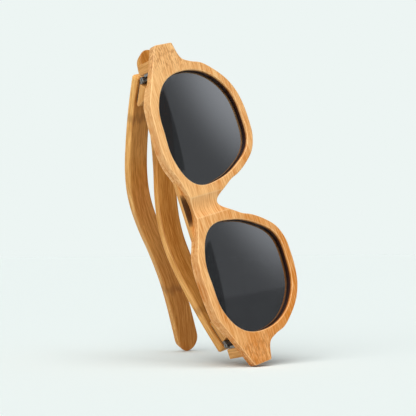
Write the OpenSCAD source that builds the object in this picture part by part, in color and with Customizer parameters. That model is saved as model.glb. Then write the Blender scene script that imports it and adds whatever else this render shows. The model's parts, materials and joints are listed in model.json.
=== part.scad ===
// Bamboo sunglasses standing on one end piece and one temple tip, temples part folded.
// Every piece is drawn as worn: x to the wearer's left, y to the back, z up to the brow.
// The stand() module then sets the whole pair on end, with +Z up from the floor.

/* [Front] */
// Length of each end piece beyond the rim
end_len = 9.2; // [8.4:0.1:10]
// Thickness of the face board, which is also the bridge and the end pieces
board_t = 3.7; // [3.3:0.1:4.2]
// Thickness of the rim layer behind the face board
rim_t = 2.1; // [1.8:0.1:2.6]
// Width of each lens opening
lens_w = 49.5; // [48:0.5:51]
// Gap between the lens openings at the nose
bridge_w = 18.6; // [17:0.2:20]
// Rim width above the lens
rim_top = 4; // [3.4:0.2:4.6]
// Rim width at the temple side of the lens
rim_side = 4; // [3.4:0.2:4.6]
// Rim width below the lens
rim_low = 3.3; // [2.8:0.1:3.8]
// Width of the thicker ring round each lens opening
ring_w = 4.8; // [4.2:0.1:5.2]
// Height of the bridge's top edge above the lens centres
bridge_top = 18.2; // [17:0.2:19.4]
// Height of the nose arch above the lens centres
nose_top = 4.4; // [3:0.2:6]
// Height of the end piece's top edge above the lens centres
end_top = 12.6; // [11.6:0.2:13.4]
// Height of the end piece
end_tall = 9.7; // [9:0.1:10.4]
// Depth of the scoop across the front of the bridge
scoop_d = 1.4; // [0.8:0.1:1.8]
// Radius of that scoop
scoop_r = 8; // [6:0.5:12]

/* [Lenses] */
// Thickness of a lens
lens_t = 2; // [1.6:0.1:2.2]
// Depth of the groove that holds a lens
groove_d = 0.9; // [0.6:0.1:1.2]
// Distance from the front face to the lens
lens_inset = 2.4; // [1.8:0.1:2.8]
// Play round a lens in its groove
lens_play = 0.05; // [0.02:0.01:0.1]

/* [Brow bar] */
// Height of the brow bar's top edge above the lens centres
bar_top = 21.3; // [20.6:0.1:21.8]
// Height of the brow bar
bar_tall = 4.2; // [3.4:0.2:5]

/* [Hinge] */
// Thickness of the end block
block_t = 4.5; // [4:0.1:5]
// Length of the end block behind the face board
block_len = 12.7; // [11.5:0.1:14]
// Distance from the end of the front to the end block
block_inset = 4.7; // [4:0.1:5.6]
// Height of the end block
block_tall = 9.4; // [8.6:0.1:9.6]
// Gap between the end block and the open temple
butt_gap = 0.2; // [0.1:0.05:0.4]
// Radius of the hinge screw
pin_r = 0.65; // [0.5:0.05:0.75]
// Running clearance of the temple leaf on the hinge screw
pin_play = 0.05; // [0.03:0.01:0.08]
// Radius of the hinge knuckles
knuckle_r = 1.3; // [1.15:0.05:1.4]
// Thickness of the hinge leaves
leaf_t = 1.1; // [0.9:0.1:1.3]
// Height of the hinge leaves
leaf_tall = 7.4; // [6.6:0.2:8]
// Height of the middle knuckle
knuckle_tall = 3; // [2.6:0.1:3.4]
// Gap between neighbouring knuckles
knuckle_gap = 0.1; // [0.06:0.02:0.2]

/* [Temples] */
// Thickness of a temple
temple_t = 4.2; // [3.8:0.1:4.6]
// Radius of a temple's sideways bow
bow_r = 280; // [250:5:340]
// Length of the bowed part
bow_len = 85; // [75:1:95]
// Length of a temple up to the straight end of its ear piece
temple_len = 118; // [114:1:122]
// Drop of the ear piece where that end starts
ear_drop = 23.5; // [22.5:0.5:25]
// Length of the straight end
ear_len = 18; // [15:0.5:20]
// Radius of the rounded temple tip
tip_r = 5.9; // [5.6:0.1:6.1]
// Thickness of the temple's inner hinge block
cheek_t = 4.6; // [4.2:0.1:5]
// Length of that block
cheek_len = 10.6; // [9.5:0.1:12]
// Height of that block
cheek_tall = 8.8; // [8:0.1:9.4]

/* [Pose] */
// Fold of the left temple from open
fold_left = 49; // [47:0.5:50]
// Fold of the right temple from open
fold_right = 66; // [65.5:0.5:72]
// Lean of the pair about the line through its two feet
lean = 16.7; // [12:0.1:20]

/* [Hidden] */
$fn = 96;
bow_fn = 360;

bamboo = "#d9a35f";
bamboo_dark = "#c58d4a";
smoke = "#3b3c40";
steel = "#a9acb0";

front_t = board_t + rim_t;
end_bottom = end_top - end_tall;
hinge_z = end_top - end_tall / 2;

// Lens outline: its radius every 30 degrees from the temple side, over half the lens width
lens_shape = [1.018, 1.034, 0.941, 0.865, 0.974, 1.103, 0.982, 0.937, 0.99, 0.929, 0.966, 0.998];
shape_step = 360 / len(lens_shape);
curve_steps = 5;
outline_step = 6;

// Point at t on the smooth curve from p1 to p2, with its neighbours p0 and p3
function blend(p0, p1, p2, p3, t) =
    0.5 * (2 * p1 + (p2 - p0) * t + (2 * p0 - 5 * p1 + 4 * p2 - p3) * t * t
    + (3 * p1 - p0 - 3 * p2 + p3) * t * t * t);
function wrap(i) = (i + len(lens_shape)) % len(lens_shape);
function lens_r(a) =
    let (s = ((a % 360) + 360) % 360 / shape_step, i = floor(s))
    lens_w / 2 * blend(lens_shape[wrap(i - 1)], lens_shape[wrap(i)], lens_shape[wrap(i + 1)],
        lens_shape[wrap(i + 2)], s - i);
function smooth(p) = [
    for (i = [0 : len(p) - 2], j = [0 : curve_steps - 1])
        blend(p[max(i - 1, 0)], p[i], p[i + 1], p[min(i + 2, len(p) - 1)], j / curve_steps),
    p[len(p) - 1]];
function reversed(p) = [for (i = [len(p) - 1 : -1 : 0]) p[i]];
function mirrored(p) = [for (i = [len(p) - 1 : -1 : 1]) [-p[i][0], p[i][1]]];
function both_sides(p) = smooth(concat(mirrored(p), p));

lens_x = bridge_w / 2 + lens_r(180);
half_w = lens_x + lens_r(0) + rim_side + end_len;
front_w = 2 * half_w;
function lens_points(grow) = [
    for (a = [0 : outline_step : 360 - outline_step]) (lens_r(a) + grow) * [cos(a), sin(a)]];
function ring_point(a, rim) = [lens_x, 0] + (lens_r(a) + rim) * [cos(a), sin(a)];

// Outline of the front, from the middle to the left end
brow_corner = 0.8;
brow_half = concat([[0, bridge_top]], [for (a = [135 : -15 : 75]) ring_point(a, rim_top)],
    [ring_point(60, rim_top + brow_corner)]);
neck_run = 2.6;
neck = ring_point(352, rim_side) + [neck_run, 0];
neck_drop = 2.2;
low_half = concat([[0, nose_top]], [for (a = [190 : 15 : 325]) ring_point(a, rim_low)],
    [ring_point(340, rim_side), ring_point(352, rim_side), [neck[0], end_bottom - neck_drop],
    [half_w, end_bottom]]);
front_outline = concat(both_sides(brow_half), [[half_w, end_top]],
    reversed(both_sides(low_half)), [[-half_w, end_top]]);

// Hinge places, on the left side
block_out = half_w - block_inset;
block_in = block_out - block_t;
block_end = board_t + block_len;
pin_off = 0.55;
pin = [block_in - leaf_t - pin_off, block_end + butt_gap / 2];
temple_start = block_end + butt_gap;
temple_in = block_out - temple_t;
leaf_clear = 0.3;
front_leaf_len = 8.5;
front_leaf_end = pin[1] - knuckle_r - leaf_clear;
temple_leaf_start = pin[1] + knuckle_r + leaf_clear;
cheek_start = pin[1] + 2.4;
temple_leaf_end = cheek_start + cheek_len - 1.2;
cheek_out = temple_in - leaf_t;
cheek_in = cheek_out - cheek_t;
cheek_taper = [3.2, 5];
top_knuckle = knuckle_tall / 2 + knuckle_gap;
screw_r = 0.6;
screw_len = 3;
screw_head_r = 1;
screw_head_t = 0.6;
front_screw_y = [front_leaf_end - 1.6, front_leaf_end - 4.6];
temple_screw_y = [cheek_start + 1.8, cheek_start + 6.6];

// Spring in the temple's hinge block, which holds the temple open or shut
plunger_r = 0.9;
plunger_x = cheek_out - 2.15;
plunger_nose = pin[1] + knuckle_r + 0.12;
plunger_end = cheek_start + 2;
bore_r = 1.3;
bore_play = 0.06;
spring_end = cheek_start + 7.2;
wire_r = 0.18;
coil_r = bore_r - wire_r - 0.1;
coil_turns = 6;
coil_rings = 12;
coil_sides = 6;

// Temple seen from the side, as shares of temple_len, ear_drop and tip_r:
// distance behind the hinge, drop of its middle line, half its height
temple_shape = [[0, 0, 0.83], [0.237, 0, 0.847], [0.407, 0.026, 0.881], [0.525, 0.128, 0.915],
    [0.644, 0.34, 0.949], [0.763, 0.604, 0.966], [0.881, 0.83, 0.983], [1, 1, 1]];
temple_side = [for (p = temple_shape) [p[0] * temple_len, -p[1] * ear_drop, p[2] * tip_r]];
ear_slope = 13;
tip_from = temple_side[len(temple_side) - 1];
tip_mid = [tip_from[0], tip_from[1]] + ear_len * [cos(ear_slope), -sin(ear_slope)];
tip_arc = [for (a = [90 : -10 : -90]) tip_mid + tip_r * [cos(a - ear_slope), sin(a - ear_slope)]];
side_outline = concat(
    smooth(concat([for (s = temple_side) [s[0], s[1] + s[2]]], [tip_arc[0]])), tip_arc,
    reversed(smooth(concat([for (s = temple_side) [s[0], s[1] - s[2]]], [tip_arc[len(tip_arc) - 1]]))));

// Temple seen from above, open: an arc that starts straight back, then a straight ear piece
bow_turn = bow_len / bow_r * 180 / PI;
bow_mid = [block_out - temple_t / 2 - bow_r, temple_start];
function bow_point(a, r) = bow_mid + r * [cos(a), sin(a)];
ear_reach = tip_mid[0];

// Standing pose: the two feet are the lower end piece's back corner and the left temple's tip
function turned(p, a) = [p[0] * cos(a) - p[1] * sin(a), p[0] * sin(a) + p[1] * cos(a)];
function folded_point(p) =
    let (q = pin + turned([p[0], p[1]] - pin, fold_left)) [q[0], q[1], p[2]];
function unit(v) = v / norm(v);
function about(mid, tall) = [mid - tall / 2, mid + tall / 2];
end_foot = [-half_w, board_t, end_top];
// Rough upward direction, as the open left temple sees it, for the lowest point of its tip
near_up = [0.954, -0.184, -0.238];
open_up = turned([near_up[0], near_up[1]], -fold_left);
tip_down = unit([open_up[1] - open_up[0] * tan(bow_turn), near_up[2]]);
foot_y = temple_start + tip_mid[0] - tip_r * tip_down[0];
foot_z = hinge_z + tip_mid[1] - tip_r * tip_down[1];
bow_end = bow_point(bow_turn, bow_r);
foot_x = bow_end[0] - (foot_y - bow_end[1]) * tan(bow_turn)
    - sign(open_up[0]) * temple_t / 2 / cos(bow_turn);
tip_foot = folded_point([foot_x, foot_y, foot_z]);
floor_line = unit(tip_foot - end_foot);
across = unit([1, 0, 0] - floor_line[0] * floor_line);
up = cos(lean) * across + sin(lean) * cross(floor_line, across);
back = unit([0, 1, 0] - up[1] * up);
side = cross(back, up);
// Middle of the footprint, from the lower end piece's foot
footprint = [-3.32, 42.6];

function stand_point(p) =
    let (d = p - end_foot) [side * d - footprint[0], back * d - footprint[1], up * d];
function stand_dir(d) = [side * d, back * d, up * d];
base = stand_point([0, 0, 0]);
pin_top = [pin[0], pin[1], hinge_z];
echo(left_pin = stand_point(pin_top), right_pin = stand_point([-pin[0], pin[1], hinge_z]));
echo(hinge_axis = stand_dir([0, 0, 1]), end_face = stand_dir([-1, 0, 0]));
echo(end_middle = stand_point([-half_w, board_t / 2, hinge_z]));
echo(base = base, side = side, back = back, up = up);

module stand()
    multmatrix([[side[0], side[1], side[2], base[0]], [back[0], back[1], back[2], base[1]],
        [up[0], up[1], up[2], base[2]], [0, 0, 0, 1]])
        children();

module right() mirror([1, 0, 0]) children();

module folded(angle)
    translate([pin[0], pin[1], 0]) rotate(angle) translate([-pin[0], -pin[1], 0]) children();

// A flat shape in x and z, from depth y0 to y1
module board(y0, y1)
    translate([0, y1, 0]) rotate([90, 0, 0]) linear_extrude(y1 - y0) children();

module box(x, y, z)
    translate([x[0], y[0], z[0]]) cube([x[1] - x[0], y[1] - y[0], z[1] - z[0]]);

module lens_shape_2d(grow) polygon(lens_points(grow));

module each_lens() for (m = [0, 1]) mirror([m, 0, 0]) translate([lens_x, 0, 0]) children();

module front_frame() color(bamboo) stand()
    difference() {
        union() {
            board(0, board_t) polygon(front_outline);
            board(board_t, front_t) intersection() {
                polygon(front_outline);
                for (m = [0, 1]) mirror([m, 0]) translate([lens_x, 0]) lens_shape_2d(ring_w);
                square([2 * block_in, front_w], center = true);
            }
        }
        each_lens() board(-1, front_t + 1) lens_shape_2d(0);
        each_lens() board(lens_inset - lens_play, lens_inset + lens_t + lens_play)
            lens_shape_2d(groove_d + lens_play);
        translate([0, scoop_d - scoop_r, 0]) cylinder(r = scoop_r, h = front_w, center = true);
    }

module brow_bar() color(bamboo_dark) stand()
    board(board_t, front_t) difference() {
        translate([-lens_x, bar_top - bar_tall]) square([2 * lens_x, bar_tall]);
        for (m = [0, 1]) mirror([m, 0]) translate([lens_x, 0]) {
            lens_shape_2d(ring_w);
            square([2 * lens_x, 3 * bar_top], center = false);
        }
    }

module lens() board(lens_inset, lens_inset + lens_t)
    translate([lens_x, 0]) lens_shape_2d(groove_d);

module end_block() difference() {
    box([block_in, block_out], [board_t, block_end], about(hinge_z, block_tall));
    front_screws_at() cylinder(r = screw_r, h = screw_len + leaf_t);
}

// Places of the front leaf's screws, pointing out into the end block
module front_screws_at() for (y = front_screw_y)
    translate([block_in - leaf_t, y, hinge_z]) rotate([0, 90, 0]) children();

module temple_screws_at() for (y = temple_screw_y)
    translate([cheek_out, y, hinge_z]) rotate([0, 90, 0]) children();

module front_leaf() difference() {
    union() {
        box([block_in - leaf_t, block_in], [pin[1] - front_leaf_len, front_leaf_end],
            about(hinge_z, leaf_tall));
        box([pin[0], block_in], [front_leaf_end, pin[1]], about(hinge_z, knuckle_tall));
        translate([pin[0], pin[1], hinge_z]) cylinder(r = knuckle_r, h = knuckle_tall, center = true);
    }
    translate([pin[0], pin[1], hinge_z]) cylinder(r = pin_r, h = leaf_tall, center = true);
    front_screws_at() cylinder(r = screw_r, h = leaf_t);
}

// A small slotted screw head and shank, along +Z from the underside of the head
module screw(r, length, head_r, head_t) {
    cylinder(r = r, h = length);
    difference() {
        translate([0, 0, -head_t]) cylinder(r = head_r, h = head_t);
        translate([-head_r, -head_r / 6, -head_t]) cube([2 * head_r, head_r / 3, head_t / 2]);
    }
}

module hinge_screw() {
    head_r = 1.15;
    head_t = 0.7;
    head_gap = 0.05;
    reach = leaf_tall / 2 + head_gap;
    translate([pin[0], pin[1], hinge_z + reach]) rotate([180, 0, 0])
        screw(pin_r, 2 * reach + head_t, head_r, head_t);
}

module front_leaf_screws() front_screws_at()
    screw(screw_r, screw_len + leaf_t, screw_head_r, screw_head_t);

module temple_plan() {
    intersection() {
        translate(bow_mid) difference() {
            circle(r = bow_r + temple_t / 2, $fn = bow_fn);
            circle(r = bow_r - temple_t / 2, $fn = bow_fn);
        }
        polygon([bow_mid, bow_mid + [2 * bow_r, 0], bow_point(bow_turn, 2 * bow_r)]);
    }
    polygon([bow_point(bow_turn, bow_r - temple_t / 2), bow_point(bow_turn, bow_r + temple_t / 2),
        bow_point(bow_turn, bow_r + temple_t / 2) + ear_reach * [-sin(bow_turn), cos(bow_turn)],
        bow_point(bow_turn, bow_r - temple_t / 2) + ear_reach * [-sin(bow_turn), cos(bow_turn)]]);
}

module temple() difference() {
    intersection() {
        translate([0, 0, hinge_z - bow_len]) linear_extrude(2 * bow_len) temple_plan();
        translate([0, temple_start, hinge_z]) rotate([90, 0, 90])
            linear_extrude(front_w) polygon(side_outline);
    }
    // Flat seat let into the inner face for the leaf and the hinge block
    box([cheek_in, temple_in], [temple_start - 1, cheek_start + cheek_len],
        about(hinge_z, cheek_tall));
    temple_screws_at() cylinder(r = screw_r, h = screw_len + leaf_t);
}

module temple_block() difference() {
    translate([0, 0, hinge_z - cheek_tall / 2]) linear_extrude(cheek_tall)
        polygon([[cheek_out, cheek_start], [cheek_in, cheek_start],
            [cheek_in, cheek_start + cheek_len - cheek_taper[1]],
            [cheek_in + cheek_taper[0], cheek_start + cheek_len], [cheek_out, cheek_start + cheek_len]]);
    translate([plunger_x, cheek_start - 1, hinge_z]) rotate([-90, 0, 0])
        cylinder(r = bore_r, h = spring_end - cheek_start + 1);
    temple_screws_at() translate([0, 0, -screw_head_t]) cylinder(r = screw_head_r, h = screw_head_t);
}

module temple_leaf() difference() {
    union() {
        box([cheek_out, temple_in], [temple_leaf_start, temple_leaf_end],
            about(hinge_z, leaf_tall));
        for (z = [top_knuckle, -leaf_tall / 2]) translate([0, 0, hinge_z + z]) {
            translate([pin[0], pin[1], 0]) cylinder(r = knuckle_r, h = leaf_tall / 2 - top_knuckle);
            box([pin[0], pin[0] + knuckle_r], [pin[1], cheek_start], [0, leaf_tall / 2 - top_knuckle]);
        }
    }
    translate([pin[0], pin[1], hinge_z]) cylinder(r = pin_r + pin_play, h = 2 * leaf_tall, center = true);
    temple_screws_at() cylinder(r = screw_r, h = leaf_t);
}

module temple_leaf_screws() temple_screws_at()
    screw(screw_r, screw_len, screw_head_r, screw_head_t);

// One unbroken coil of wire along +Y
coil_pitch = (spring_end - plunger_end - 2 * wire_r) / coil_turns;
function coil_ring(i) =
    let (a = i * 360 / coil_rings, y = i * coil_pitch / coil_rings)
    [for (k = [0 : coil_sides - 1])
        let (b = k * 360 / coil_sides, r = coil_r + wire_r * cos(b))
        [r * cos(a), y + wire_r * sin(b), r * sin(a)]];
coil_last = coil_turns * coil_rings;
coil_points = [for (i = [0 : coil_last]) each coil_ring(i)];
function corner(i, k) = i * coil_sides + k % coil_sides;
coil_faces = concat(
    [for (k = [1 : coil_sides - 2]) [corner(0, 0), corner(0, k + 1), corner(0, k)]],
    [for (i = [0 : coil_last - 1], k = [0 : coil_sides - 1], f = [0, 1])
        f == 0 ? [corner(i, k), corner(i, k + 1), corner(i + 1, k)]
            : [corner(i, k + 1), corner(i + 1, k + 1), corner(i + 1, k)]],
    [for (k = [1 : coil_sides - 2]) [corner(coil_last, 0), corner(coil_last, k), corner(coil_last, k + 1)]]);
echo(coil_gap = coil_pitch - 2 * wire_r);

module hinge_spring() translate([plunger_x, plunger_end + wire_r, hinge_z])
    polyhedron(coil_points, coil_faces);

module spring_plunger() {
    translate([plunger_x, plunger_nose, hinge_z]) rotate([-90, 0, 0])
        cylinder(r = plunger_r, h = plunger_end - plunger_nose);
    translate([plunger_x, cheek_start, hinge_z]) rotate([-90, 0, 0])
        cylinder(r = bore_r - bore_play, h = plunger_end - cheek_start);
}

module left_lens() color(smoke) stand() lens();
module right_lens() color(smoke) stand() right() lens();
module left_end_block() color(bamboo_dark) stand() end_block();
module right_end_block() color(bamboo_dark) stand() right() end_block();
module left_front_leaf() color(steel) stand() front_leaf();
module right_front_leaf() color(steel) stand() right() front_leaf();
module left_hinge_screw() color(steel) stand() hinge_screw();
module right_hinge_screw() color(steel) stand() right() hinge_screw();
module left_front_leaf_screws() color(steel) stand() front_leaf_screws();
module right_front_leaf_screws() color(steel) stand() right() front_leaf_screws();
module left_temple() color(bamboo) stand() folded(fold_left) temple();
module right_temple() color(bamboo) stand() right() folded(fold_right) temple();
module left_temple_block() color(bamboo_dark) stand() folded(fold_left) temple_block();
module right_temple_block() color(bamboo_dark) stand() right() folded(fold_right) temple_block();
module left_temple_leaf() color(steel) stand() folded(fold_left) temple_leaf();
module right_temple_leaf() color(steel) stand() right() folded(fold_right) temple_leaf();
module left_temple_leaf_screws() color(steel) stand() folded(fold_left) temple_leaf_screws();
module right_temple_leaf_screws() color(steel) stand() right() folded(fold_right) temple_leaf_screws();
module left_hinge_spring() color(steel) stand() folded(fold_left) hinge_spring();
module right_hinge_spring() color(steel) stand() right() folded(fold_right) hinge_spring();
module left_spring_plunger() color(steel) stand() folded(fold_left) spring_plunger();
module right_spring_plunger() color(steel) stand() right() folded(fold_right) spring_plunger();

front_frame();
brow_bar();
left_lens();
right_lens();
left_end_block();
right_end_block();
left_front_leaf();
right_front_leaf();
left_hinge_screw();
right_hinge_screw();
left_front_leaf_screws();
right_front_leaf_screws();
left_temple();
right_temple();
left_temple_block();
right_temple_block();
left_temple_leaf();
right_temple_leaf();
left_temple_leaf_screws();
right_temple_leaf_screws();
left_hinge_spring();
right_hinge_spring();
left_spring_plunger();
right_spring_plunger();
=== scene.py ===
import bpy
import bmesh
import json
import math
import numpy as np
from mathutils import Matrix, Vector
from mathutils.geometry import delaunay_2d_cdt
from mathutils.kdtree import KDTree


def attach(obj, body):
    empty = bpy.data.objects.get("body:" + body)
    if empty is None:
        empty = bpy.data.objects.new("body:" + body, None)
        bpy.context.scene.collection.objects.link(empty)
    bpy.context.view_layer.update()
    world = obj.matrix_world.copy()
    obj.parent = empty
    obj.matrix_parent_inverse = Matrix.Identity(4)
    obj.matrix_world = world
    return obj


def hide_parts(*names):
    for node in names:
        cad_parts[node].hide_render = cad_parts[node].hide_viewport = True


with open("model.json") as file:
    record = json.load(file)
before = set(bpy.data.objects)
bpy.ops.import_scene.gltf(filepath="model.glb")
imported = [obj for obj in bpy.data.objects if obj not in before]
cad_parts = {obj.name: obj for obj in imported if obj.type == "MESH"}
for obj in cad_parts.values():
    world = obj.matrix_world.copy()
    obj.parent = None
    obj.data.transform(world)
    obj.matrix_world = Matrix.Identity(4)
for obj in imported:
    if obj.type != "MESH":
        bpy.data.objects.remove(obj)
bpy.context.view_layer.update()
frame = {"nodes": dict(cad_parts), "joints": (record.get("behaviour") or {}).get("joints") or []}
mm = 0.001
print("frame loaded:", len(frame["nodes"]), "CAD nodes")

# The pair as worn, in mm: x to the wearer's left, y to the back, z up to the brow
hinge = {"pinOut": 61.15, "pinBack": 16.5, "height": 7.75, "foldLeft": 49, "foldRight": 66}
sideNames = ((1, "left"), (-1, "right"))

joints = {j["name"]: j for j in frame["joints"]}
leftPin = Vector(joints["left_hinge"]["pos_m"])
rightPin = Vector(joints["right_hinge"]["pos_m"])
acrossDir = (leftPin - rightPin).normalized()
browDir = Vector(joints["right_hinge"]["axis"]).normalized()
rearDir = browDir.cross(acrossDir)
wornToRow = Matrix((acrossDir, rearDir, browDir)).transposed().to_4x4()
wornToRow.translation = ((leftPin + rightPin) / 2 - rearDir * hinge["pinBack"] * mm
                         - browDir * hinge["height"] * mm)


# Outline helpers, all in mm
def blendPoint(p0, p1, p2, p3, t):
    return 0.5 * (2 * p1 + (p2 - p0) * t + (2 * p0 - 5 * p1 + 4 * p2 - p3) * t * t
                  + (3 * p1 - p0 - 3 * p2 + p3) * t ** 3)


def smoothLine(points, steps=8):
    p = [np.array(q, float) for q in points]
    last = len(p) - 1
    line = [blendPoint(p[max(i - 1, 0)], p[i], p[i + 1], p[min(i + 2, last)], j / steps)
            for i in range(last) for j in range(steps)]
    return line + [p[last]]


def bothSides(half):
    return smoothLine([(-x, z) for x, z in reversed(half[1:])] + list(half))


def roundCorners(points, radius, turn=30):
    p = [np.array(q, float) for q in points]
    made = []
    for i, here in enumerate(p):
        before, after = here - p[i - 1], p[(i + 1) % len(p)] - here
        a, b = np.linalg.norm(before), np.linalg.norm(after)
        bend = math.degrees(math.acos(max(-1, min(1, before @ after / (a * b)))))
        if bend < turn:
            made.append(here)
            continue
        start = here - before / a * min(radius, a / 2)
        end = here + after / b * min(radius, b / 2)
        made += [start * (1 - t) ** 2 + here * 2 * t * (1 - t) + end * t * t
                 for t in (0, 0.2, 0.4, 0.6, 0.8, 1)]
    return made


def evenLoop(points, spacing):
    p = np.array(list(points) + [points[0]], float)
    run = np.r_[0, np.cumsum(np.linalg.norm(np.diff(p, axis=0), axis=1))]
    at = np.linspace(0, run[-1], max(12, int(run[-1] / spacing)), endpoint=False)
    return np.c_[np.interp(at, run, p[:, 0]), np.interp(at, run, p[:, 1])]


def loopArea(loop):
    x, y = loop[:, 0], loop[:, 1]
    return 0.5 * np.sum(x * np.roll(y, -1) - np.roll(x, -1) * y)


def insetLoop(loop, inset):
    # moves a loop to its left, into the material; sharp corners are kept from running away
    sharpest = 0.8
    ahead = np.roll(loop, -1, 0) - loop
    ahead /= np.linalg.norm(ahead, axis=1)[:, None]
    left = np.c_[-ahead[:, 1], ahead[:, 0]]
    corner = left + np.roll(left, 1, 0)
    corner /= np.maximum((corner ** 2).sum(1), sharpest)[:, None] / 2
    return loop + corner * inset


def insideLoops(points, loops):
    odd = np.zeros(len(points), bool)
    for loop in loops:
        nxt = np.roll(loop, -1, 0)
        for (x0, y0), (x1, y1) in zip(loop, nxt):
            if y0 == y1:
                continue
            crosses = (points[:, 1] >= min(y0, y1)) & (points[:, 1] < max(y0, y1))
            odd ^= crosses & (points[:, 0] < x0 + (points[:, 1] - y0) * (x1 - x0) / (y1 - y0))
    return odd


# Plates, which all the wood and the lenses are made from
plate = {"bendClear": 0.6, "bendStep": 0.5, "edgeClear": 0.55, "highlightFrom": 0.05, "highlightShare": 0.8,
         "creaseHalf": 0.3, "weld": 2e-6}


def capFaces(loops, grid, bends):
    # triangles between the loops, with an even grid of points inside so that the face can bend
    low = loops[0].min(0)
    high = loops[0].max(0)
    across = [x for x in np.arange(low[0], high[0], grid)
              if all(abs(x - b) > plate["bendClear"] for b in bends)]
    edge = np.concatenate(loops)
    finder = KDTree(len(edge))
    for i, p in enumerate(edge):
        finder.insert((p[0], p[1], 0), i)
    finder.balance()
    points = [edge]
    for columns, step in ((across, grid), (bends, plate["bendStep"])):
        gx, gy = np.meshgrid(np.array(columns, float), np.arange(low[1], high[1], step))
        dots = np.c_[gx.ravel(), gy.ravel()]
        dots = dots[insideLoops(dots, loops)]
        clear = [finder.find((d[0], d[1], 0))[2] > plate["edgeClear"] * step for d in dots]
        points.append(dots[np.array(clear, bool)])
    points = np.concatenate(points)
    sides, first = [], 0
    for loop in loops:
        n = len(loop)
        sides += [(first + i, first + (i + 1) % n) for i in range(n)]
        first += n
    made = delaunay_2d_cdt([Vector(p) for p in points], sides, [], 1, 1e-5)
    verts = np.array([tuple(v) for v in made[0]])
    faces = [f for f in made[2] if len(f) == 3]
    middles = np.array([verts[list(f)].mean(0) for f in faces])
    keep = insideLoops(middles, loops)
    return verts, [f for f, k in zip(faces, keep) if k]


def noShade(u, w, inHole):
    return 0.0


def roundedPlate(name, outer, holes, low, high, edges, place, grain, grid=2.0, rounds=4, shade=noShade,
                 bends=(), walls=(), crease=None):
    # a plate between two heights, with rounded edges; place() sets each point in the pair,
    # bends are the places along u where the faces turn, walls are added levels on the sides,
    # and crease is the distance from the middle where the face turns sharply
    loops = [outer if loopArea(outer) > 0 else outer[::-1]]
    loops += [h if loopArea(h) < 0 else h[::-1] for h in holes]
    levels = []
    for i in range(rounds + 1):
        a = math.radians(90 * i / rounds)
        levels.append((edges[0] * (1 - math.sin(a)), low + edges[0] * (1 - math.cos(a))))
    levels += [(0.0, w) for w in walls]
    for i in range(rounds + 1):
        a = math.radians(90 * (1 - i / rounds))
        levels.append((edges[1] * (1 - math.sin(a)), high - edges[1] * (1 - math.cos(a))))
    levels = [v for i, v in enumerate(levels) if i == 0 or v != levels[i - 1]]
    bm = bmesh.new()
    grainLayer = bm.verts.layers.float_vector.new("grainAt")
    shadeLayer = bm.verts.layers.float.new("shade")
    arrisLayer = bm.verts.layers.float.new("arris")

    def addVert(u, v, w, inHole=False, inset=0.0):
        vert = bm.verts.new(Vector(place(u, v, w)) * mm)
        vert[grainLayer] = Vector(grain(u, v, w)) * mm
        vert[shadeLayer] = shade(u, w, inHole)
        # painted highlight: the rounded edges and the creases of the bridge hollow are marked paler
        onEdge = plate["highlightFrom"] < inset < plate["highlightShare"] * max(edges)
        onCrease = crease is not None and w == low and abs(abs(u) - crease) < plate["creaseHalf"]
        vert[arrisLayer] = 1.0 if onEdge or onCrease else 0.0
        return vert

    for k, loop in enumerate(loops):
        rings = [[addVert(u, v, w, k > 0, inset) for u, v in insetLoop(loop, inset)]
                 for inset, w in levels]
        for a, b in zip(rings, rings[1:]):
            for i in range(len(a)):
                j = (i + 1) % len(a)
                bm.faces.new((a[i], a[j], b[j], b[i]))
    for inset, w in (levels[0], levels[-1]):
        verts, faces = capFaces([insetLoop(loop, inset) for loop in loops], grid, bends)
        cap = [addVert(u, v, w) for u, v in verts]
        for f in faces:
            bm.faces.new([cap[k] for k in f])
    bmesh.ops.remove_doubles(bm, verts=bm.verts, dist=plate["weld"])
    bmesh.ops.recalc_face_normals(bm, faces=bm.faces)
    return finishMesh(name, bm)


def finishMesh(name, bm):
    mesh = bpy.data.meshes.new(name)
    bm.to_mesh(mesh)
    bm.free()
    mesh.transform(wornToRow)
    for poly in mesh.polygons:
        poly.use_smooth = True
    piece = bpy.data.objects.new(name, mesh)
    bpy.context.scene.collection.objects.link(piece)
    return piece


def joinPieces(name, pieces):
    with bpy.context.temp_override(active_object=pieces[0], selected_editable_objects=pieces,
                                   selected_objects=pieces):
        bpy.ops.object.join()
    pieces[0].name = name
    return pieces[0]


def settle(piece, body, slotName, material, *nodes):
    piece.data.materials.clear()
    piece.data.materials.append(material)
    weighted = piece.modifiers.new("faceNormals", "WEIGHTED_NORMAL")
    weighted.keep_sharp = True
    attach(piece, body)
    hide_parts(*nodes)


# Node helpers
def addNode(tree, kind, at, **values):
    node = tree.nodes.new(kind)
    node.location = at
    for key, value in values.items():
        setattr(node, key, value)
    return node


def wire(tree, source, target):
    tree.links.new(source, target)


def mathNode(tree, operation, a, b, at, clamp=False):
    node = addNode(tree, "ShaderNodeMath", at, operation=operation, use_clamp=clamp)
    for socket, value in zip(node.inputs, (a, b)):
        if isinstance(value, (int, float)):
            socket.default_value = value
        elif value is not None:
            wire(tree, value, socket)
    return node.outputs[0]


def rangeNode(tree, value, low, high, at, toLow=0.0, toHigh=1.0):
    node = addNode(tree, "ShaderNodeMapRange", at, interpolation_type="SMOOTHSTEP")
    wire(tree, value, node.inputs["Value"])
    for key, number in (("From Min", low), ("From Max", high), ("To Min", toLow), ("To Max", toHigh)):
        node.inputs[key].default_value = number
    return node.outputs["Result"]


def colourMix(tree, factor, a, b, at, blend="MIX"):
    node = addNode(tree, "ShaderNodeMix", at, data_type="RGBA", blend_type=blend)
    for socket, value in ((node.inputs[0], factor), (node.inputs[6], a), (node.inputs[7], b)):
        if isinstance(value, (int, float, tuple)):
            socket.default_value = value
        else:
            wire(tree, value, socket)
    return node.outputs[2]


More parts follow.
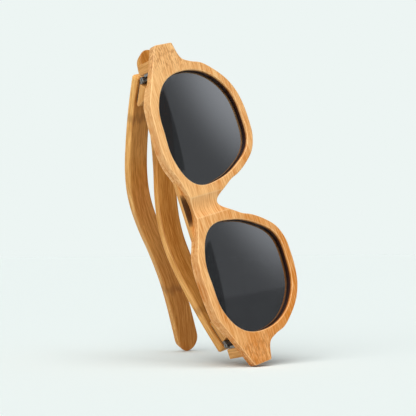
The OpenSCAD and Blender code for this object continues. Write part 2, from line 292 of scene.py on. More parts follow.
def stretchedNoise(tree, coord, stretch, detail, at):
    scaled = addNode(tree, "ShaderNodeVectorMath", at, operation="MULTIPLY")
    wire(tree, coord, scaled.inputs[0])
    scaled.inputs[1].default_value = stretch
    noise = addNode(tree, "ShaderNodeTexNoise", (at[0] + 180, at[1]))
    noise.inputs["Scale"].default_value = 1.0
    noise.inputs["Detail"].default_value = detail
    noise.inputs["Roughness"].default_value = 0.55
    wire(tree, scaled.outputs[0], noise.inputs["Vector"])
    return noise.outputs["Fac"]


# Bamboo: coordinates in mm, x along the fibres, y across the board, z into it
bambooLook = {"coarse": (0.080, 1.25, 1.25), "fine": (0.18, 2.9, 2.9), "dash": (0.42, 1.5, 1.5),
              "broad": (0.014, 0.16, 0.16), "wander": (0.020, 0.04, 0.04), "wanderBy": 1.5,
              "streaks": (0.36, 0.64), "clouds": (0.35, 0.65), "shares": (0.42, 0.36, 0.22),
              "sparse": (0.67, 0.83), "dense": (0.47, 0.60), "speckleFade": (-2.0, 4.0),
              "knotGap": 88.0, "rag": (0.10, 0.55, 0.55), "ragBy": 9.0, "scar": (0.4, 3.4),
              # arris is the colour of the painted highlight on edges and creases
              "arris": (1.0, 0.66, 0.33, 1), "polish": (0.3, 0.7), "rough": (0.52, 0.40),
              "bumpDeep": 0.0002}


def makeBambooGroup():
    tree = bpy.data.node_groups.new("bambooGrain", "ShaderNodeTree")
    face = tree.interface
    for name, kind in (("Coord", "NodeSocketVector"), ("Pale", "NodeSocketColor"),
                       ("Deep", "NodeSocketColor"), ("Dash", "NodeSocketColor"),
                       ("Dash amount", "NodeSocketFloat"), ("Knot at", "NodeSocketFloat"),
                       ("Knot amount", "NodeSocketFloat"), ("Speckle from", "NodeSocketFloat"),
                       ("Paler by", "NodeSocketVector"), ("Edge amount", "NodeSocketFloat"),
                       ("Shade colour", "NodeSocketColor"),
                       ("Shade", "NodeSocketFloat"), ("Arris", "NodeSocketFloat")):
        face.new_socket(name, in_out="INPUT", socket_type=kind)
    for name, kind in (("Color", "NodeSocketColor"), ("Roughness", "NodeSocketFloat"),
                       ("Height", "NodeSocketFloat")):
        face.new_socket(name, in_out="OUTPUT", socket_type=kind)
    inside = addNode(tree, "NodeGroupInput", (-1500, 0))
    out = addNode(tree, "NodeGroupOutput", (1100, 0))
    inMm = addNode(tree, "ShaderNodeVectorMath", (-1300, 0), operation="SCALE")
    wire(tree, inside.outputs["Coord"], inMm.inputs[0])
    inMm.inputs["Scale"].default_value = 1000
    coord = inMm.outputs[0]
    # fibres wander a little across the board
    wander = stretchedNoise(tree, coord, bambooLook["wander"], 1, (-1300, -300))
    drift = mathNode(tree, "MULTIPLY_ADD", wander, bambooLook["wanderBy"], (-1000, -300))
    shift = addNode(tree, "ShaderNodeCombineXYZ", (-850, -300))
    wire(tree, drift, shift.inputs["Y"])
    bent = addNode(tree, "ShaderNodeVectorMath", (-700, -100), operation="ADD")
    wire(tree, coord, bent.inputs[0])
    wire(tree, shift.outputs[0], bent.inputs[1])
    fibre = bent.outputs[0]
    coarse = stretchedNoise(tree, fibre, bambooLook["coarse"], 3, (-500, 300))
    fine = stretchedNoise(tree, fibre, bambooLook["fine"], 2, (-500, 100))
    dash = stretchedNoise(tree, fibre, bambooLook["dash"], 1, (-500, -100))
    broad = stretchedNoise(tree, coord, bambooLook["broad"], 1, (-500, -300))
    toneA = rangeNode(tree, coarse, *bambooLook["streaks"], (-100, 300))
    toneB = rangeNode(tree, fine, *bambooLook["streaks"], (-100, 100))
    toneC = rangeNode(tree, broad, *bambooLook["clouds"], (-100, -300))
    shareA, shareB, shareC = bambooLook["shares"]
    partA = mathNode(tree, "MULTIPLY", toneA, shareA, (80, 300))
    partB = mathNode(tree, "MULTIPLY_ADD", toneB, shareB, (230, 200))
    wire(tree, partA, partB.node.inputs[2])
    partC = mathNode(tree, "MULTIPLY_ADD", toneC, shareC, (380, 200))
    wire(tree, partB, partC.node.inputs[2])
    # the colour grows paler along the Paler by direction: on the front this is painted light falling off
    # across the face and painted shade deeper into the cut sides, and the temples are made darker towards
    # the tip
    paler = addNode(tree, "ShaderNodeVectorMath", (230, 400), operation="DOT_PRODUCT")
    wire(tree, coord, paler.inputs[0])
    wire(tree, inside.outputs["Paler by"], paler.inputs[1])
    tone = mathNode(tree, "ADD", partC, paler.outputs["Value"], (460, 320), True)
    parts = addNode(tree, "ShaderNodeSeparateXYZ", (-500, -520))
    wire(tree, coord, parts.inputs[0])
    wood = colourMix(tree, tone, inside.outputs["Deep"], inside.outputs["Pale"], (540, 200))
    # short dark dashes, sparse along the board and thick near its ends
    fromMiddle = mathNode(tree, "ABSOLUTE", parts.outputs["X"], None, (-300, -420))
    past = mathNode(tree, "SUBTRACT", fromMiddle, inside.outputs["Speckle from"], (-150, -420))
    thick = rangeNode(tree, past, *bambooLook["speckleFade"], (0, -420))
    sparse = rangeNode(tree, dash, *bambooLook["sparse"], (80, -100))
    dense = rangeNode(tree, dash, *bambooLook["dense"], (80, -250))
    dashMask = addNode(tree, "ShaderNodeMix", (240, -150), data_type="FLOAT")
    wire(tree, thick, dashMask.inputs[0])
    wire(tree, sparse, dashMask.inputs[2])
    wire(tree, dense, dashMask.inputs[3])
    dashes = mathNode(tree, "MULTIPLY", dashMask.outputs[0], inside.outputs["Dash amount"], (400, -100))
    dashed = colourMix(tree, dashes, wood, inside.outputs["Dash"], (700, 150))
    # the dark scars across the fibres at the cane's leaf joints
    ragged = stretchedNoise(tree, coord, bambooLook["rag"], 3, (-500, -700))
    rag = mathNode(tree, "MULTIPLY_ADD", ragged, bambooLook["ragBy"], (-150, -700))
    rag.node.inputs[2].default_value = -bambooLook["ragBy"] / 2
    away = mathNode(tree, "SUBTRACT", parts.outputs["X"], inside.outputs["Knot at"], (-300, -520))
    nearest = mathNode(tree, "WRAP", away, bambooLook["knotGap"] / 2, (-150, -560))
    nearest.node.inputs[2].default_value = -bambooLook["knotGap"] / 2
    uneven = mathNode(tree, "ADD", nearest, rag, (0, -560))
    gone = mathNode(tree, "ABSOLUTE", uneven, None, (150, -560))
    scar = rangeNode(tree, gone, *bambooLook["scar"], (300, -560), 1.0, 0.0)
    scarred = mathNode(tree, "MULTIPLY", scar, inside.outputs["Knot amount"], (480, -520))
    knotted = colourMix(tree, scarred, dashed, inside.outputs["Dash"], (860, 100))
    # painted shade makes the shaded parts darker and redder, and a painted highlight makes the edges and
    # creases paler
    shaded = colourMix(tree, inside.outputs["Shade"], knotted, inside.outputs["Shade colour"], (1000, 100),
                       "MULTIPLY")
    edgeHighlight = mathNode(tree, "MULTIPLY", inside.outputs["Arris"], inside.outputs["Edge amount"], (860, -100))
    final = colourMix(tree, edgeHighlight, shaded, bambooLook["arris"], (1150, 100))
    wire(tree, final, out.inputs["Color"])
    polish = rangeNode(tree, fine, *bambooLook["polish"], (700, -250), *bambooLook["rough"])
    wire(tree, polish, out.inputs["Roughness"])
    raised = mathNode(tree, "SUBTRACT", tone, dashes, (700, -420))
    wire(tree, raised, out.inputs["Height"])
    return tree


bambooGroup = makeBambooGroup()


def makeBamboo(name, look):
    material = bpy.data.materials.new(name)
    material.use_nodes = True
    tree = material.node_tree
    shader = tree.nodes["Principled BSDF"]
    group = addNode(tree, "ShaderNodeGroup", (-420, 0), node_tree=bambooGroup)
    where = addNode(tree, "ShaderNodeAttribute", (-640, 0), attribute_name="grainAt")
    wire(tree, where.outputs["Vector"], group.inputs["Coord"])
    for key, at in (("Shade", -200), ("Arris", -400)):
        painted = addNode(tree, "ShaderNodeAttribute", (-640, at), attribute_name=key.lower())
        wire(tree, painted.outputs["Fac"], group.inputs[key])
    for key, value in look["grain"].items():
        group.inputs[key].default_value = value
    bump = addNode(tree, "ShaderNodeBump", (-200, -200))
    bump.inputs["Strength"].default_value = look["bump"]
    bump.inputs["Distance"].default_value = bambooLook["bumpDeep"]
    wire(tree, group.outputs["Color"], shader.inputs["Base Color"])
    wire(tree, group.outputs["Roughness"], shader.inputs["Roughness"])
    wire(tree, group.outputs["Height"], bump.inputs["Height"])
    wire(tree, bump.outputs["Normal"], shader.inputs["Normal"])
    shader.inputs["Specular IOR Level"].default_value = look["gloss"]
    return material


# its Paler by paints light falling off towards the wearer's right end and the lower rims, and paints shade
# deeper into the sides and over the rims
faceBamboo = makeBamboo("faceBamboo", {"bump": 0.05, "gloss": 0.28, "grain": {
    "Pale": (1.0, 0.585, 0.245, 1), "Deep": (0.63, 0.200, 0.020, 1), "Dash": (0.42, 0.135, 0.022, 1),
    "Dash amount": 0.55, "Knot at": 900.0, "Knot amount": 0.0, "Speckle from": 60.0,
    "Paler by": (0.0040, 0.0080, -0.09), "Edge amount": 0.45, "Shade colour": (0.05, 0.02, 0.01, 1)}})
# its Shade colour tints the painted shade on the inside faces of the temples
templeBamboo = makeBamboo("templeBamboo", {"bump": 0.07, "gloss": 0.18, "grain": {
    "Pale": (0.98, 0.56, 0.195, 1), "Deep": (0.56, 0.230, 0.037, 1), "Dash": (0.22, 0.070, 0.008, 1),
    "Dash amount": 0.45, "Knot at": 20.0, "Knot amount": 0.4, "Speckle from": 900.0,
    "Paler by": (-0.0024, 0, 0), "Edge amount": 0.12, "Shade colour": (0.64, 0.38, 0.02, 1)}})
blockBamboo = makeBamboo("blockBamboo", {"bump": 0.07, "gloss": 0.22, "grain": {
    "Pale": (0.86, 0.46, 0.150, 1), "Deep": (0.52, 0.210, 0.042, 1), "Dash": (0.26, 0.085, 0.012, 1),
    "Dash amount": 0.5, "Knot at": 900.0, "Knot amount": 0.0, "Speckle from": 900.0,
    "Paler by": (0, 0, 0), "Edge amount": 0.15, "Shade colour": (0.05, 0.02, 0.01, 1)}})


# Smoke lens and hinge steel
lensLook = {"tint": (0.014, 0.0145, 0.0155, 1), "ior": 1.01, "coatRough": 0.02, "coatIor": 2.85}


def makeLensGlass():
    # thin dark sheet that doesn't bend the view, with a soft polished coat
    material = bpy.data.materials.new("smokeLens")
    material.use_nodes = True
    shader = material.node_tree.nodes["Principled BSDF"]
    shader.inputs["Base Color"].default_value = lensLook["tint"]
    shader.inputs["Roughness"].default_value = 0.0
    shader.inputs["IOR"].default_value = lensLook["ior"]
    shader.inputs["Transmission Weight"].default_value = 1.0
    shader.inputs["Coat Weight"].default_value = 1.0
    shader.inputs["Coat Roughness"].default_value = lensLook["coatRough"]
    shader.inputs["Coat IOR"].default_value = lensLook["coatIor"]
    return material


steelLook = {"colour": (0.30, 0.29, 0.28, 1), "rough": (0.28, 0.45), "brush": (900, 60, 60),
             "streaks": (0.3, 0.7)}


def makeSteel():
    material = bpy.data.materials.new("hingeSteel")
    material.use_nodes = True
    tree = material.node_tree
    shader = tree.nodes["Principled BSDF"]
    where = addNode(tree, "ShaderNodeTexCoord", (-800, 0))
    brushed = stretchedNoise(tree, where.outputs["Object"], steelLook["brush"], 3, (-600, 0))
    polish = rangeNode(tree, brushed, *steelLook["streaks"], (-240, 0), *steelLook["rough"])
    wire(tree, polish, shader.inputs["Roughness"])
    shader.inputs["Base Color"].default_value = steelLook["colour"]
    shader.inputs["Metallic"].default_value = 1.0
    return material


smokeLens = makeLensGlass()
hingeSteel = makeSteel()
for name, node in frame["nodes"].items():
    node.data.materials.clear()
    node.data.materials.append(smokeLens if name.endswith("_lens") else hingeSteel)
print("materials ready")

# Front frame: face board with both rims, bridge and end pieces
front = {"boardT": 3.7, "rimT": 2.1, "lensW": 49.5, "bridgeW": 18.6, "rimTop": 4.0, "rimSide": 4.0,
         "rimLow": 3.3, "ringW": 4.8, "bridgeTop": 18.2, "noseTop": 4.4, "endTop": 12.6,
         "endTall": 9.7, "endLen": 9.2, "browCorner": 0.8, "neckRun": 2.6, "neckDrop": 2.2,
         "scoopDeep": 1.4, "scoopR": 8.0, "scoopSoft": 0.06, "scoopFade": 0.8, "edge": 0.42,
         "backEdge": 0.12, "cornerR": 1.0, "blockFace": 9.2, "step": 0.75, "grid": 1.5,
         "walls": (0.8, 1.1, 1.5, 2.0, 2.8),
         "bendSteps": (-4.2, -3.4, -2.6, -1.9, -1.3, -0.8, -0.4, 0, 0.4, 0.9, 1.5),
         # shade paints shade on the cut sides and in the lens openings
         "shade": {"from": 0.4, "to": 4.7, "side": 0.14, "hole": 0.3, "holeFrom": 0.95, "holeFade": 0.6},
         "lensShape": (1.018, 1.034, 0.941, 0.865, 0.974, 1.103, 0.982, 0.937, 0.99, 0.929, 0.966,
                       0.998)}


def lensRadius(angle):
    shape = front["lensShape"]
    n = len(shape)
    s = (angle % 360) / (360 / n)
    i = int(s)
    return front["lensW"] / 2 * blendPoint(shape[(i - 1) % n], shape[i % n], shape[(i + 1) % n],
                                           shape[(i + 2) % n], s - i)


lensMiddle = front["bridgeW"] / 2 + lensRadius(180)
halfW = lensMiddle + lensRadius(0) + front["rimSide"] + front["endLen"]
frontT = front["boardT"] + front["rimT"]


def ringPoint(angle, rim):
    r = lensRadius(angle) + rim
    a = math.radians(angle)
    return (lensMiddle + r * math.cos(a), r * math.sin(a))


def lensLoop(grow, step=3):
    return np.array([ringPoint(a, grow) for a in range(0, 360, step)])


def frontLoop():
    endTop, endLow = front["endTop"], front["endTop"] - front["endTall"]
    browHalf = [(0, front["bridgeTop"])]
    browHalf += [ringPoint(a, front["rimTop"]) for a in range(135, 74, -15)]
    browHalf += [ringPoint(60, front["rimTop"] + front["browCorner"])]
    lowHalf = [(0, front["noseTop"])] + [ringPoint(a, front["rimLow"]) for a in range(190, 326, 15)]
    lowHalf += [ringPoint(340, front["rimSide"]), ringPoint(352, front["rimSide"])]
    lowHalf += [(ringPoint(352, front["rimSide"])[0] + front["neckRun"], endLow - front["neckDrop"])]
    lowHalf += [(halfW, endLow)]
    line = bothSides(browHalf) + [(halfW, endTop)] + bothSides(lowHalf)[::-1] + [(-halfW, endTop)]
    return evenLoop(roundCorners(line, front["cornerR"]), front["step"])


scoopReach = math.sqrt(2 * front["scoopR"] * front["scoopDeep"] - front["scoopDeep"] ** 2)


def scoopDepth(x):
    # round hollow across the bridge, with softened sides
    if abs(x) > scoopReach + front["scoopFade"]:
        return 0.0
    hollow = front["scoopDeep"] - front["scoopR"] + math.sqrt(front["scoopR"] ** 2 - x * x)
    return math.log1p(math.exp(hollow / front["scoopSoft"])) * front["scoopSoft"]


def frontPlace(u, v, w):
    return (u, w + scoopDepth(u) * (1 - w / front["boardT"]), v)


def alongX(u, v, w):
    return (u, v, w)


def cutShade(u, w, inHole):
    # painted shade: the cut sides are darker than the face, and the walls of the lens openings darken
    # towards the lens
    look = front["shade"]
    if not look["from"] < w < look["to"]:
        return 0.0
    deeper = look["hole"] + (w - look["holeFrom"]) / look["holeFade"]
    return max(0.0, min(1.0, deeper)) if inHole else look["side"]


outline = frontLoop()
lensHoles = [lensLoop(0), lensLoop(0) * (-1, 1)]
scoopBends = [side * (scoopReach + d) for side in (-1, 1) for d in front["bendSteps"]]
board = roundedPlate("board", outline, lensHoles, 0, front["boardT"], (front["edge"], front["backEdge"]),
                     frontPlace, alongX, front["grid"], shade=cutShade, bends=scoopBends,
                     walls=front["walls"], crease=scoopReach)


# Rims behind the board, cut off where the end blocks stand
rim = {"lap": 0.3, "edge": 0.8, "walls": (4.2, 4.6), "shyOfOutline": 0.03, "holeGap": 0.02,
       "grainDeep": 2.0, "step": 0.8, "grid": 2.0}
blockIn = halfW - front["blockFace"]


def rayToOutline(angle):
    dx, dz = math.cos(math.radians(angle)), math.sin(math.radians(angle))
    best = 99.0
    a = outline - (lensMiddle, 0)
    b = np.roll(a, -1, 0)
    for p, q in zip(a, b):
        e = q - p
        cross = dx * e[1] - dz * e[0]
        if abs(cross) < 1e-9:
            continue
        t = (p[0] * e[1] - p[1] * e[0]) / cross
        s = (p[0] * dz - p[1] * dx) / cross
        if t > 0 and 0 <= s <= 1:
            best = min(best, t)
    return best


def rimLoop():
    points = []
    for angle in range(0, 360, 3):
        r = min(lensRadius(angle) + front["ringW"], rayToOutline(angle) - rim["shyOfOutline"])
        a = math.radians(angle)
        points.append((min(lensMiddle + r * math.cos(a), blockIn), r * math.sin(a)))
    return evenLoop(points, rim["step"])


rimOuter = rimLoop()
rims = []
for side in (1, -1):
    # the rims' grain sits at a fixed depth, so the face material paints them darker as shade
    rims.append(roundedPlate("rim", rimOuter * (side, 1), [lensLoop(rim["holeGap"]) * (side, 1)],
                             front["boardT"] - rim["lap"], frontT, (0, rim["edge"]),
                             lambda u, v, w: (u, w, v), lambda u, v, w: (u, v, rim["grainDeep"]),
                             rim["grid"], shade=cutShade, walls=rim["walls"]))
frontPiece = joinPieces("frontFrame", [board] + rims)
settle(frontPiece, "front", "bamboo", faceBamboo, "front_frame")
print("front frame:", len(frontPiece.data.vertices), "points")

# Lenses, slightly domed, with their edges in the grooves
lens = {"front": 2.5, "back": 4.0, "lap": 0.45, "dome": 1.0, "edge": 0.3, "grid": 1.5}


def lensPlace(side):
    def placed(u, v, w):
        out = ((u - side * lensMiddle) ** 2 + v * v) / (front["lensW"] / 2) ** 2
        return (u, w - lens["dome"] * max(0.0, 1 - out), v)
    return placed


for side, name in sideNames:
    piece = roundedPlate(name + "Lens", lensLoop(lens["lap"]) * (side, 1), [], lens["front"], lens["back"],
                         (lens["edge"],) * 2, lensPlace(side), alongX, lens["grid"])
    settle(piece, "front", "smoke_lens", smokeLens, name + "_lens")

# Brow bar behind the dipped bridge
# the dark entries set the painted shade on the front of the bar
bar = {"top": 21.3, "tall": 4.2, "edge": 0.35, "rimLeft": 1.6, "lap": 0.2, "wall": 0.15, "step": 0.6,
       "grid": 1.0, "darkHalf": 7.5, "darkness": 0.94, "darkFade": 6, "darkDeep": 0.1}


def barShade(u, w, inHole):
    # painted shade: its front is darkened in the middle, where it lies in the dark behind the dip of the
    # bridge
    if w > front["boardT"] + bar["darkDeep"]:
        return 0.0
    return bar["darkness"] * max(0.0, 1 - (u / bar["darkHalf"]) ** bar["darkFade"])


def barLoop():
    ring = [ringPoint(a, bar["rimLeft"]) for a in range(180, 88, -2)]
    xs, zs = np.array(ring).T
    heights = np.linspace(bar["top"] - bar["tall"], bar["top"], 8)
    right = [(float(np.interp(z, zs, xs)), z) for z in heights]
    return np.array(right + [(-x, z) for x, z in reversed(right)])


barPiece = roundedPlate("browBar", evenLoop(barLoop(), bar["step"]), [], front["boardT"] - bar["lap"],
                        frontT, (0, bar["edge"]), lambda u, v, w: (u, w, v), alongX, bar["grid"],
                        shade=barShade, walls=(front["boardT"] + bar["wall"],))
settle(barPiece, "front", "bamboo_trim", blockBamboo, "brow_bar")

# End blocks that carry the hinges
endBlock = {"thick": 4.5, "start": 3.1, "end": 16.4, "tall": 9.4, "edge": 0.45, "corner": 0.7,
            "step": 0.5, "grid": 1.5, "grainShift": 40}
blockOut = blockIn + endBlock["thick"]


def sideOf(side):
    return lambda p: (side * p[0], p[1], p[2])


for side, name in sideNames:
    low, high = hinge["height"] - endBlock["tall"] / 2, hinge["height"] + endBlock["tall"] / 2
    box = [(endBlock["start"], low), (endBlock["end"], low), (endBlock["end"], high),
           (endBlock["start"], high)]
    flip = sideOf(side)
    loop = evenLoop(roundCorners(box, endBlock["corner"]), endBlock["step"])
    piece = roundedPlate(name + "EndBlock", loop, [], blockIn, blockOut, (endBlock["edge"],) * 2,
                         lambda u, v, w: flip((w, u, v)),
                         lambda u, v, w: (u + endBlock["grainShift"] * side, v, w), endBlock["grid"])
    settle(piece, "front", "bamboo_trim", blockBamboo, name + "_end_block")
print("brow bar and end blocks done")

# Temples
temple = {"thick": 4.2, "start": 16.6, "bowR": 280.0, "bowLen": 85.0, "length": 118.0, "drop": 23.5,
          "earLen": 18.0, "earSlope": 13.0, "tipR": 5.9, "edge": 0.55, "seatEnd": 13.0,
          "corner": 0.8, "cornerTurn": 45, "step": 1.0, "grid": 2.0, "wall": 0.6, "grainShift": 60,
          # innerShade paints shade on the inside faces
          "innerShade": 0.6, "innerDeep": 0.5,
          "shape": ((0, 0, 0.83), (0.237, 0, 0.847), (0.407, 0.026, 0.881), (0.525, 0.128, 0.915),
                    (0.644, 0.34, 0.949), (0.763, 0.604, 0.966), (0.881, 0.83, 0.983), (1, 1, 1))}
bowTurn = temple["bowLen"] / temple["bowR"]
bowMiddle = blockOut - temple["thick"] / 2 - temple["bowR"]
templeIn = blockOut - temple["thick"]


def templeLine(s):
    # drop of the middle line and half height at a distance behind the hinge
    line = np.array(smoothLine(temple["shape"], 8))
    return (-np.interp(s / temple["length"], line[:, 0], line[:, 1]) * temple["drop"],
            np.interp(s / temple["length"], line[:, 0], line[:, 2]) * temple["tipR"])


def templeLoop():
    size = (temple["length"], temple["drop"], temple["tipR"])
    line = [(p[0] * size[0], -p[1] * size[1], p[2] * size[2]) for p in temple["shape"]]
    slope = math.radians(temple["earSlope"])
    tip = np.array(line[-1][:2]) + temple["earLen"] * np.array((math.cos(slope), -math.sin(slope)))
    arc = [tip + temple["tipR"] * np.array((math.cos(a - slope), math.sin(a - slope)))
           for a in np.radians(np.arange(90, -91, -10))]
    top = smoothLine([(s, d + h) for s, d, h in line] + [tuple(arc[0])])
    under = smoothLine([(s, d - h) for s, d, h in line] + [tuple(arc[-1])])
    edge = roundCorners(top + arc[1:-1] + under[::-1], temple["corner"], temple["cornerTurn"])
    return evenLoop(edge, temple["step"])


def foldedPlace(side):
    # a point of the open left temple, folded to the rest pose and put on its side
    angle = math.radians(hinge["foldLeft"] if side > 0 else hinge["foldRight"])
    c, s = math.cos(angle), math.sin(angle)

    def placed(p):
        x, y = p[0] - hinge["pinOut"], p[1] - hinge["pinBack"]
        return (side * (hinge["pinOut"] + x * c - y * s), hinge["pinBack"] + x * s + y * c, p[2])
    return placed


def templeBow(u, w):
    y = temple["start"] + u
    bowEnd = temple["bowR"] * math.sin(bowTurn)
    if u < bowEnd:
        turn = math.asin(u / temple["bowR"]) if u > 0 else 0.0
        x = bowMiddle + temple["bowR"] * math.cos(turn)
    else:
        turn = bowTurn
        x = bowMiddle + temple["bowR"] * math.cos(turn) - (u - bowEnd) * math.tan(turn)
    x += w / math.cos(turn)
    if u < temple["seatEnd"] and w < 0:
        x = max(x, templeIn)
    return x, y


def innerShade(u, w, inHole):
    # painted shade: the inside face of a temple is darkened and reddened
    return temple["innerShade"] if w < temple["innerDeep"] - temple["thick"] / 2 else 0.0


templeOutline = templeLoop()
for side, name in sideNames:
    fold = foldedPlace(side)

    def onTemple(u, v, w):
        x, y = templeBow(u, w)
        return fold((x, y, hinge["height"] + v))

    def alongTemple(u, v, w):
        return (u, v - templeLine(u)[0] + temple["grainShift"] * side, w)
    piece = roundedPlate(name + "Temple", templeOutline, [], -temple["thick"] / 2,
                         temple["thick"] / 2, (temple["edge"],) * 2, onTemple, alongTemple,
                         temple["grid"], shade=innerShade, walls=(temple["wall"] - temple["thick"] / 2,))
    settle(piece, name + "_arm", "bamboo", templeBamboo, name + "_temple")
print("temples done")

# Wedge-ended blocks on the temples
wedge = {"thick": 4.6, "length": 10.6, "tall": 8.8, "leaf": 1.1, "start": 18.9, "taper": (3.2, 5.0),
         "edge": 0.4, "corner": 0.6, "step": 0.4, "grid": 1.5, "grainShift": 70}
for side, name in sideNames:
    outX = templeIn - wedge["leaf"]
    inX, endY = outX - wedge["thick"], wedge["start"] + wedge["length"]
    plan = [(outX, wedge["start"]), (outX, endY), (inX + wedge["taper"][0], endY),
            (inX, endY - wedge["taper"][1]), (inX, wedge["start"])]
    fold = foldedPlace(side)
    loop = evenLoop(roundCorners(plan, wedge["corner"]), wedge["step"])
    piece = roundedPlate(name + "TempleBlock", loop, [], -wedge["tall"] / 2, wedge["tall"] / 2,
                         (wedge["edge"],) * 2, lambda u, v, w: fold((u, v, hinge["height"] + w)),
                         lambda u, v, w: (v + wedge["grainShift"] * side, w, u), wedge["grid"])
    settle(piece, name + "_arm", "bamboo_trim", blockBamboo, name + "_temple_block")

# Springs in the temple blocks
coil = {"x": 59.85, "start": 21.08, "end": 25.92, "r": 1.02, "wire": 0.18, "turns": 6, "steps": 28,
        "sides": 8}
for side, name in sideNames:
    fold = foldedPlace(side)
    bm = bmesh.new()
    rings = []
    count = coil["turns"] * coil["steps"]
    for i in range(count + 1):
        a = 2 * math.pi * i / coil["steps"]
        y = coil["start"] + (coil["end"] - coil["start"]) * i / count
        ring = []
        for k in range(coil["sides"]):
            b = 2 * math.pi * k / coil["sides"]
            r = coil["r"] + coil["wire"] * math.cos(b)
            ring.append(bm.verts.new(Vector(fold((coil["x"] + r * math.cos(a),
                                                  y + coil["wire"] * math.sin(b),
                                                  hinge["height"] + r * math.sin(a)))) * mm))
        rings.append(ring)
    for a, b in zip(rings, rings[1:]):
        for k in range(coil["sides"]):
            n = (k + 1) % coil["sides"]
            bm.faces.new((a[k], a[n], b[n], b[k]))
    bm.faces.new(rings[0])
    bm.faces.new(rings[-1])
    bmesh.ops.recalc_face_normals(bm, faces=bm.faces)
    piece = finishMesh(name + "HingeSpring", bm)
    settle(piece, name + "_arm", "steel", hingeSteel, name + "_hinge_spring")
print("wedge blocks and springs done")

# Camera, floor and light
view = {"at": (-0.34786, -0.47963, 0.05114), "turn": (91.756, 0.239, -36.942), "lens": 112.5,
        "sensor": 36}
camera = bpy.data.objects.new("camera", bpy.data.cameras.new("camera"))
camera.data.lens = view["lens"]
camera.data.sensor_width = view["sensor"]
camera.location = view["at"]
camera.rotation_euler = [math.radians(a) for a in view["turn"]]
bpy.context.scene.collection.objects.link(camera)
bpy.context.scene.camera = camera

studio = {"pale": (0.847, 0.913, 0.896, 1), "sky": 0.25, "mirrored": 0.2, "floorSize": 12.0,
          "floor": (0.868, 0.931, 0.895, 1), "room": (0.94, 0.985, 1.06, 1),
          "suns": (("leftSun", 1.7, (-0.72, -0.42, 0.55), 60), ("topSun", 1.46, (-0.2, -0.3, 0.93), 50)),
          "box": {"to": (0.747, -0.452, 0.492), "strength": 0.9, "outer": 27, "inner": 2, "fade": 2.7},
          "flag": {"from": -75, "to": -57, "leaves": 0.4}, "wall": {"top": 0.19, "leaves": 0.72},
          "blur": 0.005}


def makeFloor():
    mesh = bpy.data.meshes.new("floor")
    h = studio["floorSize"] / 2
    mesh.from_pydata([(-h, -h, 0), (h, -h, 0), (h, h, 0), (-h, h, 0)], [], [(0, 1, 2, 3)])
    floor = bpy.data.objects.new("floor", mesh)
    bpy.context.scene.collection.objects.link(floor)
    material = bpy.data.materials.new("paleFloor")
    material.use_nodes = True
    shader = material.node_tree.nodes["Principled BSDF"]
    shader.inputs["Base Color"].default_value = studio["floor"]
    shader.inputs["Roughness"].default_value = 1.0
    shader.inputs["Specular IOR Level"].default_value = 0.0
    mesh.materials.append(material)


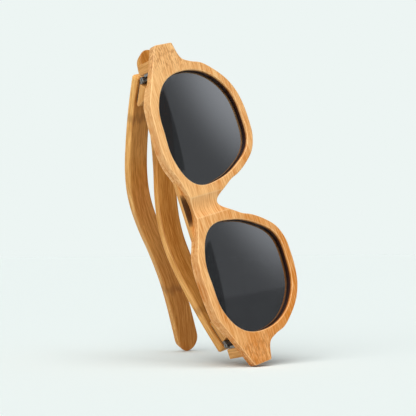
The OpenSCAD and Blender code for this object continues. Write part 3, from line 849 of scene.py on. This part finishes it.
def mirroredRoom(tree):
    # how much of the pale room a polished face shows: a soft box at the right, a dark flag
    # in front and a darker wall low down
    box, flag, wall, blur = studio["box"], studio["flag"], studio["wall"], studio["blur"]
    where = addNode(tree, "ShaderNodeTexCoord", (-1800, 0)).outputs["Generated"]
    toBox = addNode(tree, "ShaderNodeVectorMath", (-1600, 200), operation="DOT_PRODUCT")
    wire(tree, where, toBox.inputs[0])
    toBox.inputs[1].default_value = Vector(box["to"]).normalized()
    inBox = rangeNode(tree, toBox.outputs["Value"], math.cos(math.radians(box["outer"])),
                      math.cos(math.radians(box["inner"])), (-1400, 200))
    fading = mathNode(tree, "POWER", inBox, box["fade"], (-1200, 200))
    lit = mathNode(tree, "MULTIPLY", fading, box["strength"], (-1000, 200))
    parts = addNode(tree, "ShaderNodeSeparateXYZ", (-1600, -100))
    wire(tree, where, parts.inputs[0])
    around = mathNode(tree, "ARCTAN2", parts.outputs["Y"], parts.outputs["X"], (-1400, -50))
    first, last = math.radians(flag["from"]), math.radians(flag["to"])
    start = rangeNode(tree, around, first - blur, first + blur, (-1200, 50))
    end = rangeNode(tree, around, last - blur, last + blur, (-1200, -100), 1.0, 0.0)
    inFlag = mathNode(tree, "MULTIPLY", start, end, (-1000, 0))
    dimmed = rangeNode(tree, inFlag, 0.0, 1.0, (-850, 0), studio["mirrored"],
                       studio["mirrored"] * flag["leaves"])
    aboveWall = rangeNode(tree, parts.outputs["Z"], wall["top"] - blur, wall["top"] + blur, (-1200, -300),
                          wall["leaves"], 1.0)
    even = mathNode(tree, "MULTIPLY", dimmed, aboveWall, (-680, -100))
    return mathNode(tree, "ADD", even, lit, (-520, -100), True)


def makeSky():
    world = bpy.data.worlds.new("studio")
    bpy.context.scene.world = world
    world.use_nodes = True
    tree = world.node_tree
    tree.nodes.clear()
    path = addNode(tree, "ShaderNodeLightPath", (-900, 300))
    straight = mathNode(tree, "MAXIMUM", path.outputs["Is Camera Ray"], path.outputs["Is Transmission Ray"],
                        (-680, 300))
    seen = mathNode(tree, "MAXIMUM", straight, path.outputs["Is Glossy Ray"], (-500, 300))
    soft = addNode(tree, "ShaderNodeBackground", (-100, 100))
    soft.inputs["Color"].default_value = studio["room"]
    soft.inputs["Strength"].default_value = studio["sky"]
    mirrored = addNode(tree, "ShaderNodeBackground", (-330, -50))
    mirrored.inputs["Color"].default_value = studio["room"]
    wire(tree, mirroredRoom(tree), mirrored.inputs["Strength"])
    pale = addNode(tree, "ShaderNodeBackground", (-330, -200))
    pale.inputs["Color"].default_value = studio["pale"]
    shown = addNode(tree, "ShaderNodeMixShader", (-100, -80))
    lighting = addNode(tree, "ShaderNodeMixShader", (100, 50))
    for mix, factor, first, second in ((shown, straight, mirrored, pale), (lighting, seen, soft, shown)):
        wire(tree, factor, mix.inputs["Fac"])
        wire(tree, first.outputs[0], mix.inputs[1])
        wire(tree, second.outputs[0], mix.inputs[2])
    wire(tree, lighting.outputs[0], addNode(tree, "ShaderNodeOutputWorld", (300, 50)).inputs["Surface"])


def makeSun(name, energy, fromWhere, spread):
    lamp = bpy.data.lights.new(name, "SUN")
    lamp.energy = energy
    lamp.angle = math.radians(spread)
    sun = bpy.data.objects.new(name, lamp)
    sun.rotation_euler = Vector(fromWhere).to_track_quat("Z", "Y").to_euler()
    bpy.context.scene.collection.objects.link(sun)


makeFloor()
makeSky()
for sunLook in studio["suns"]:
    makeSun(*sunLook)
bpy.context.scene.view_settings.view_transform = "Standard"
print("camera, floor and light done")
